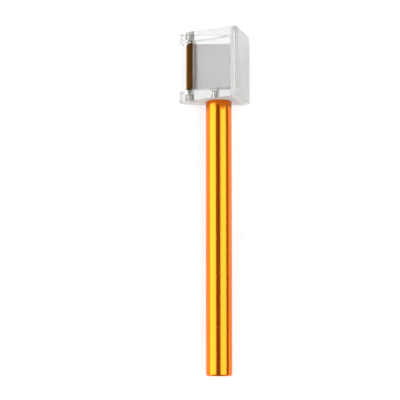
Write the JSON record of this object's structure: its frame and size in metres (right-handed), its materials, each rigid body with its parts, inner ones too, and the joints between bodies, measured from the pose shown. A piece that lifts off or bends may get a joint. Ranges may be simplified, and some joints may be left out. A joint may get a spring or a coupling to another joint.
{
  "type": "roller applicator",
  "caption": "Hand-held roller applicator: round metal handle, wedge-shaped clear tank and a knurled roller on pivots between the tank's two lugs.",
  "frame": {"origin": "centre of the handle's flat end face, on the handle's axis", "axes": "+Y along the handle towards the tank, +Z away from the flank on which the tool lies, +X away from the roller"},
  "size_m": [0.0275, 0.1316, 0.0195],
  "materials": {
    "handle": "bright orange-gold anodised, fine turning marks",
    "tank": "clear cast acrylic sheet, polished faces, satin sawn edges inside",
    "roller": "diamond knurled, browned",
    "steel": "bright nickel-plated screws"
  },
  "bodies": {
    "holder": {"handle": "handle", "handle_stud": "steel", "lower_end_plate": "tank", "upper_end_plate": "tank", "front_wall": "tank", "rear_wall": "tank", "end_wall": "tank"},
    "roller": {"roller": "roller"},
    "upper_screw": {"upper_pivot_screw": "steel"},
    "lower_screw": {"lower_pivot_screw": "steel"}
  },
  "joints": [
    {"name": "roller_spin", "type": "hinge", "parent": "holder", "child": "roller", "pos_m": [-0.01019, 0.1183, -0.00292], "axis": [0, 1, 0], "continuous": true},
    {"name": "upper_screw_out", "type": "slide", "parent": "holder", "child": "upper_screw", "axis": [0, 1, 0], "range_m": [0, 0.003]},
    {"name": "lower_screw_out", "type": "slide", "parent": "holder", "child": "lower_screw", "axis": [0, -1, 0], "range_m": [0, 0.003]}
  ]
}
